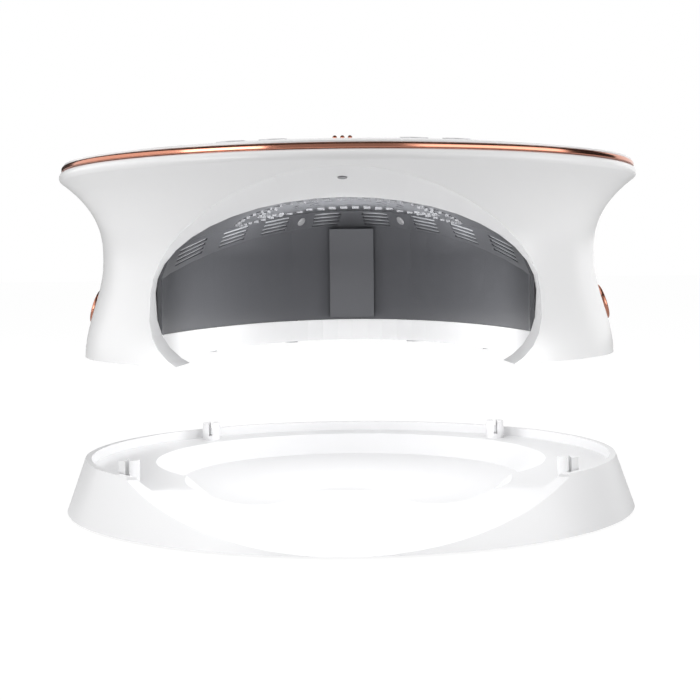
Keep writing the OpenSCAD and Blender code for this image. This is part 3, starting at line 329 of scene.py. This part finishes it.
finishes = {
    "white_shell": moulded("white_shell", (0.9, 0.9, 0.905), 0.26),
    "white_inner": moulded("white_inner", (0.92, 0.92, 0.922), 0.42, peel=0.12),
    "rivet_satin": moulded("rivet_satin", (0.34, 0.34, 0.35), 0.3, peel=0.1),
    # The tray is the shell's white plastic made darker: painted shade, which greys the tray's walls
    # below the head's.
    "tray_white_shaded": moulded("tray_white_shaded", (0.72, 0.72, 0.727), 0.3),
    "key_white": moulded("key_white", (0.8, 0.8, 0.81), 0.3),
    "black_plastic": moulded("black_plastic", (0.03, 0.03, 0.033), 0.45, peel=0.2, drift=0.2),
    "foot_rubber": moulded("foot_rubber", (0.12, 0.12, 0.125), 0.8, peel=0.35, drift=0.15),
    "lead_red": moulded("lead_red", (0.45, 0.03, 0.03), 0.5),
    "lead_grey": moulded("lead_grey", (0.5, 0.51, 0.54), 0.5),
    "capacitor_blue": moulded("capacitor_blue", (0.03, 0.05, 0.16), 0.4),
}
print("plastics:", list(finishes))

# %% [markdown]
# The liner of the hand cavity is sprayed grey, with a fine satin grain that spreads the light. It
# is the same kind of surface as the plastics, with a finer and stronger peel, so the same helper
# makes it.
# %% Grey liner
finishes["liner_grey"] = moulded("liner_grey", (0.115, 0.117, 0.126), 0.32, peel=0.25, drift=0.06,
                                 grain=1400.0)
print("liner:", finishes["liner_grey"].name)

# %% [markdown]
# Rose gold is a metal film on plastic. All its colour is in the reflection, so the base colour is
# that of copper with a little pink, and the roughness is close to a mirror's. A slow cloud and a
# faint ripple keep it from looking like a computed mirror. Screws and wire are the same kind.
# %% Metals
cloud_scale, cloud_dark, cloud_rough, ripple_scale = 60.0, 0.93, 0.05, 300.0


def plated(name, colour, roughness, ripple=0.02):
    """A metal whose colour and gloss vary slowly, with a ripple of some strength."""
    finish = Finish(name)
    cloud = finish.noise(cloud_scale)
    darker = rgb(*[c * cloud_dark for c in colour])
    return finish.set(Base_Color=finish.mix(cloud, darker, rgb(*colour)),
                      Metallic=1.0, Roughness=roughness + cloud * cloud_rough,
                      Normal=finish.bump(finish.noise(ripple_scale), ripple)).material


finishes["rose_gold"] = plated("rose_gold", (0.8, 0.35, 0.24), 0.12)
finishes["screw_steel"] = plated("screw_steel", (0.6, 0.6, 0.62), 0.3, ripple=0.1)
finishes["copper_wire"] = plated("copper_wire", (0.6, 0.26, 0.12), 0.35, ripple=0.4)
print("metals:", list(finishes)[-3:])

# %% [markdown]
# The small lenses in the ceiling and the sensor's window are clear plastic over a board. Full
# transmission would show little but that board, and take many light paths. So only a fifth of the
# light goes through, and the rest is the pale grey that such a lens has while the lamp is off.
# %% Lenses
lens = Finish("lens_clear")
finishes["lens_clear"] = lens.set(
    Base_Color=rgb(0.36, 0.365, 0.38), Roughness=lens.noise(400.0) * 0.1 + 0.1,
    Transmission_Weight=0.2, IOR=1.46).material
print("lenses:", lens.material.name)

# %% [markdown]
# The frosted guides behind the slots look whiter the nearer they are to the ceiling, because their
# upper ribs face the light. A light inside each would be slow and noisy, so that light is painted
# into their colour: the ceiling is an arch, so the shader works out the arch's height above each
# place and mixes a shaded and a lit grey by how far below it the place lies.
# %% Light guides
arch_spring, arch_rise, arch_half = 0.086, 0.036, 0.0703
fade_from, fade_to = -0.007, -0.001
guide = Finish("light_guide")
across, _, height = guide.axes()
sideways = across / arch_half
crown = arch_spring + arch_rise * guide.node(
    "ShaderNodeMath", {"operation": "SQRT"}, {0: 1 - sideways * sideways})
painted_light_share = guide.node("ShaderNodeMapRange", inputs={
    "Value": height - crown, "From Min": fade_from, "From Max": fade_to})
grain = guide.noise(500.0) * 0.15
# Painted light: the darker grey is the guide in shade, the paler one the guide lit, palest just
# under the ceiling.
finishes["light_guide"] = guide.set(
    Base_Color=guide.mix(painted_light_share + grain, rgb(0.17, 0.175, 0.185), rgb(0.42, 0.43, 0.45)),
    Roughness=0.35).material
print("guides: darkest", -fade_from, "m below the ceiling, palest at", -fade_to)

# %% [markdown]
# Circuit boards have copper tracks under green lacquer. They could be drawn one by one, but the
# boards are inside. The tracks are thin lines of a grid whose lines are kept only where a slow
# noise is high, which reads as routing from a step away.
# %% Circuit boards
lines_per_metre, half_line, routed = 500, 0.18, 0.5


def board(name, colour, track):
    """A lacquered board of one colour with tracks of another, a little proud and glossier."""
    finish = Finish(name)
    x = finish.axes()[0]
    near_line = abs(x * lines_per_metre % 1 - 0.5) < half_line
    lines = near_line * (finish.noise(90.0) > routed)
    return finish.set(Base_Color=finish.mix(lines, rgb(*colour), rgb(*track)),
                      Roughness=0.35 - lines * 0.08,
                      Normal=finish.bump(lines, 0.2)).material


finishes["board_green"] = board("board_green", (0.02, 0.13, 0.06), (0.04, 0.2, 0.09))
finishes["board_white"] = board("board_white", (0.7, 0.71, 0.69), (0.78, 0.78, 0.75))
print("boards:", list(finishes)[-2:])

# %% [markdown]
# The display window is smoked plastic, black until the digits light up. A clear coat over a nearly
# black base does it: what shows is the coat's gloss, with a hair of unevenness.
# %% Display window
smoke = Finish("display_black")
finishes["display_black"] = smoke.set(
    Base_Color=rgb(0.012, 0.012, 0.015), Roughness=smoke.noise(200.0) * 0.04 + 0.06,
    Coat_Weight=0.5).material
print("window:", smoke.material.name)

# %% [markdown]
# Each CAD node takes the finish of its material slot in the record, so the list of pieces and
# their materials is kept in one place only. The two rivets in the liner are the exception: the
# photo shows them in a satin grey, and not as bright steel.
# %% Dress the CAD nodes
slots = {row["node"]: row["material_slot"] for row in frame["record"]["subparts"]}
for node, slot in slots.items():
    mesh = nodes[node].data
    mesh.materials.clear()
    mesh.materials.append(finishes[slot])
nodes["liner_rivets"].data.materials[0] = finishes["rivet_satin"]
print("dressed", len(slots), "nodes in", len(finishes), "finishes")

# %% [markdown]
# The CAD mesh of the shell is a fan of loose triangles, and light breaks a little at each band of
# its turned profile. Joining the points that share a place, and smoothing every edge that bends by
# less than thirty degrees, gives one skin whose shading runs on as the moulded shell's does. The
# Weighted Normal modifier lets large faces outweigh the slivers between them. The liner has finer
# steps to keep, so its angle is smaller.
# %% Softened skins
def softened(name, node, angle=30.0):
    """A piece with a CAD node's triangles, equal points made one, smooth below an angle."""
    source = nodes[node].data
    points = np.empty(len(source.vertices) * 3, np.float32)
    source.vertices.foreach_get("co", points)
    corners = np.empty(len(source.loops), np.int32)
    source.loops.foreach_get("vertex_index", corners)
    whole, where = np.unique(np.round(points.reshape(-1, 3), 6), axis=0, return_inverse=True)
    faces = where.reshape(-1)[corners].reshape(-1, 3)
    first, second, third = faces.T
    faces = faces[(first != second) & (second != third) & (third != first)]
    mesh = bpy.data.meshes.new(name)
    mesh.from_pydata(whole.tolist(), [], faces.tolist())
    mesh.shade_smooth()
    mesh.set_sharp_from_angle(angle=np.radians(angle))
    piece = bpy.data.objects.new(name, mesh)
    bpy.context.scene.collection.objects.link(piece)
    mesh.materials.append(source.materials[0])
    evened = piece.modifiers.new("evened", "WEIGHTED_NORMAL")
    evened.keep_sharp = True
    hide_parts(node)
    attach(piece, body_of(nodes[node])[0])
    print(name, len(whole), "points,", len(faces), "faces")
    return piece


softened("head_skin", "outer_shell")
softened("liner_skin", "reflector", 20.0)
softened("cover_skin", "top_cover")
tray_skin = softened("tray_skin", "tray_shell")
# The tray gets the darker copy of the white plastic, which paints shade onto it.
tray_skin.data.materials[0] = finishes["tray_white_shaded"]

# %% [markdown]
# The pieces that come now are new. Each is made where it lies on the lamp, with its object at the
# origin, and rides on the body that carries it, so that it follows every joint. One helper does
# this for all of them.
# %% New pieces
def new_piece(name, points, faces, material, body, angle=None):
    """An object from points and faces, riding on a body, flat or smooth below an angle."""
    mesh = bpy.data.meshes.new(name)
    mesh.from_pydata(np.asarray(points).tolist(), [], faces)
    if angle is not None:
        mesh.shade_smooth()
        mesh.set_sharp_from_angle(angle=np.radians(angle))
    mesh.materials.append(finishes[material])
    piece = bpy.data.objects.new(name, mesh)
    bpy.context.scene.collection.objects.link(piece)
    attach(piece, body)
    print(name, len(mesh.vertices), "points,", len(mesh.polygons), "faces")
    return piece


# %% [markdown]
# The lip of the head is an oval, and so is what runs round it. Blender's Screw modifier turns a
# profile round a circle only, so the points come from a formula instead, for all angles at once,
# and the faces join each point to its neighbours along the profile and round the oval.
# %% Turned ovals
oval = 0.92
head_z = 0.061
places_around = 480


def arc(centre, radius, first, last, count):
    """Points (r, z) at radius * (cos t, sin t) from a centre, t between two angles in degrees."""
    turn = np.radians(np.linspace(first, last, count))
    return np.array(centre) + radius * np.stack([np.cos(turn), np.sin(turn)], axis=1)


def turned_oval(profile):
    """(r cos a, oval * r sin a, z) for each (r, z) of a closed profile and each angle a."""
    turn = np.linspace(0, 2 * np.pi, places_around, endpoint=False)[:, None]
    r, z = profile.T[:, None, :]
    return np.stack(np.broadcast_arrays(r * np.cos(turn), oval * r * np.sin(turn), z + head_z),
                    axis=-1).reshape(-1, 3)


def ring_faces(line_count):
    """Quads between a closed row of closed lines, point (i, j) at place i * line_count + j."""
    i, j = np.meshgrid(np.arange(places_around), np.arange(line_count), indexing="ij")
    here, right = i * line_count, (i + 1) % places_around * line_count
    up = (j + 1) % line_count
    return np.stack([here + j, right + j, right + up, here + up], axis=-1).reshape(-1, 4).tolist()


print("oval:", oval, "as deep as wide, in", places_around, "steps")

# %% [markdown]
# The trim ring is a thin plated band under the cover. On the CAD mesh its edges are sharp, and a
# Bevel modifier would round all of them alike. Here the profile has an arc at each edge that
# shows, so a reflection rolls over it from the white studio to the dark ceiling.
# %% Trim band
trim_inside, trim_low, trim_high = 0.10895, 0.07015, 0.074
trim_line = np.concatenate([
    [(trim_inside, trim_low), (0.11205, trim_low), (0.11205, 0.0721)],
    arc((0.11365, 0.07245), 0.00035, -90, 0, 7), arc((0.1131, 0.0731), 0.0009, 0, 90, 13),
    [(trim_inside, trim_high)]])
trim_band = new_piece("trim_band", turned_oval(trim_line), ring_faces(len(trim_line)),
                      "rose_gold", "head", angle=35.0)
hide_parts("trim_ring")

# %% [markdown]
# The top can't be seen in the photo. Its four keys carry plain numbers of seconds. They could be
# printed in the material, but raised figures stay sharp from close by. A text curve gives their
# outline, and each point is lifted to the height of the domed cover at its place, which falls off
# with a power of the distance from the middle.
# %% Numbers on the keys
key_words, key_x, key_y = ("10", "30", "60", "99"), (-0.04, -0.025, 0.025, 0.04), -0.066
key_proud, figure_size, figure_depth = 0.0005, 0.0046, 0.00003
dome_low, dome_rise, dome_r, dome_power = 0.0747, 0.0068, 0.1131, 2.5


def dome(x, y):
    """Low edge + rise * (1 - (r / radius) ** power) above the head's foot, r on the oval."""
    r = np.hypot(x, y / oval)
    return head_z + dome_low + dome_rise * (1 - (r / dome_r) ** dome_power)


def number_mesh(words):
    """The points and faces of some figures, made from a text curve that is then thrown away."""
    curve = bpy.data.curves.new("figures", "FONT")
    curve.body, curve.size, curve.extrude = words, figure_size, figure_depth
    curve.align_x, curve.align_y = "CENTER", "CENTER"
    holder = bpy.data.objects.new("figures", curve)
    bpy.context.scene.collection.objects.link(holder)
    flat = bpy.data.meshes.new_from_object(
        holder.evaluated_get(bpy.context.evaluated_depsgraph_get()))
    bpy.data.objects.remove(holder)
    points = np.empty(len(flat.vertices) * 3, np.float32)
    flat.vertices.foreach_get("co", points)
    return points.reshape(-1, 3).astype(float), [tuple(face.vertices) for face in flat.polygons]


for number, (words, x) in enumerate(zip(key_words, key_x), start=1):
    points, faces = number_mesh(words)
    points[:, :2] += (x, key_y)
    points[:, 2] += dome(points[:, 0], points[:, 1]) + key_proud
    new_piece(f"key_number_{number}", points, faces, "rose_gold", f"key_{number}")

# %% [markdown]
# The window shows two digits of seven bars each, as a timer does. A font could give them, but the
# bars of a real display are separate lights with pointed ends and gaps between them. So each bar
# is one flat six-sided shape between two corners of the digit, laid on the dome.
# %% Digits in the window
bars = {  # from and to of each bar, in bar lengths, the digit two high and one wide
    "top": ((0, 2), (1, 2)), "middle": ((0, 1), (1, 1)), "bottom": ((0, 0), (1, 0)),
    "left_up": ((0, 1), (0, 2)), "left_low": ((0, 0), (0, 1)),
    "right_up": ((1, 1), (1, 2)), "right_low": ((1, 0), (1, 1))}
digit_bars = {"6": ("top", "middle", "bottom", "left_up", "left_low", "right_low"),
              "0": ("top", "bottom", "left_up", "left_low", "right_up", "right_low")}
digit_places = ((-0.0045, "6"), (0.0045, "0"))
bar_length, bar_half, bar_below, bar_above = 0.0042, 0.00045, -0.00005, 0.00004
outline = np.array([(-0.44, 0), (-0.36, 1), (0.36, 1), (0.44, 0), (0.36, -1), (-0.36, -1)])


def bar_points(digit_x, bar):
    """A flat six-sided bar between two places: its length along, its half width across."""
    start, end = (np.array(place, float) for place in bars[bar])
    middle, along = (start + end) / 2, end - start
    across = np.array((-along[1], along[0]))
    flat = (middle - (0.5, 1)) * bar_length + outline[:, :1] * bar_length * along \
        + outline[:, 1:] * bar_half * across
    flat = flat + (digit_x, key_y)
    low = dome(flat[:, 0], flat[:, 1])
    return np.concatenate([np.column_stack([flat, low + lift]) for lift in (bar_below, bar_above)])


sides = len(outline)
low_ring = list(range(sides))
walls = [(a, a + sides, b + sides, b) for a, b in zip(low_ring, low_ring[1:] + low_ring[:1])]
bar_faces = [low_ring, [a + sides for a in reversed(low_ring)], *walls]
lit_bars = [bar_points(x, bar) for x, digit in digit_places for bar in digit_bars[digit]]
new_piece("display_digits", np.concatenate(lit_bars),
          [[v + 2 * sides * k for v in face] for k in range(len(lit_bars)) for face in bar_faces],
          "light_guide", "head", angle=35.0)
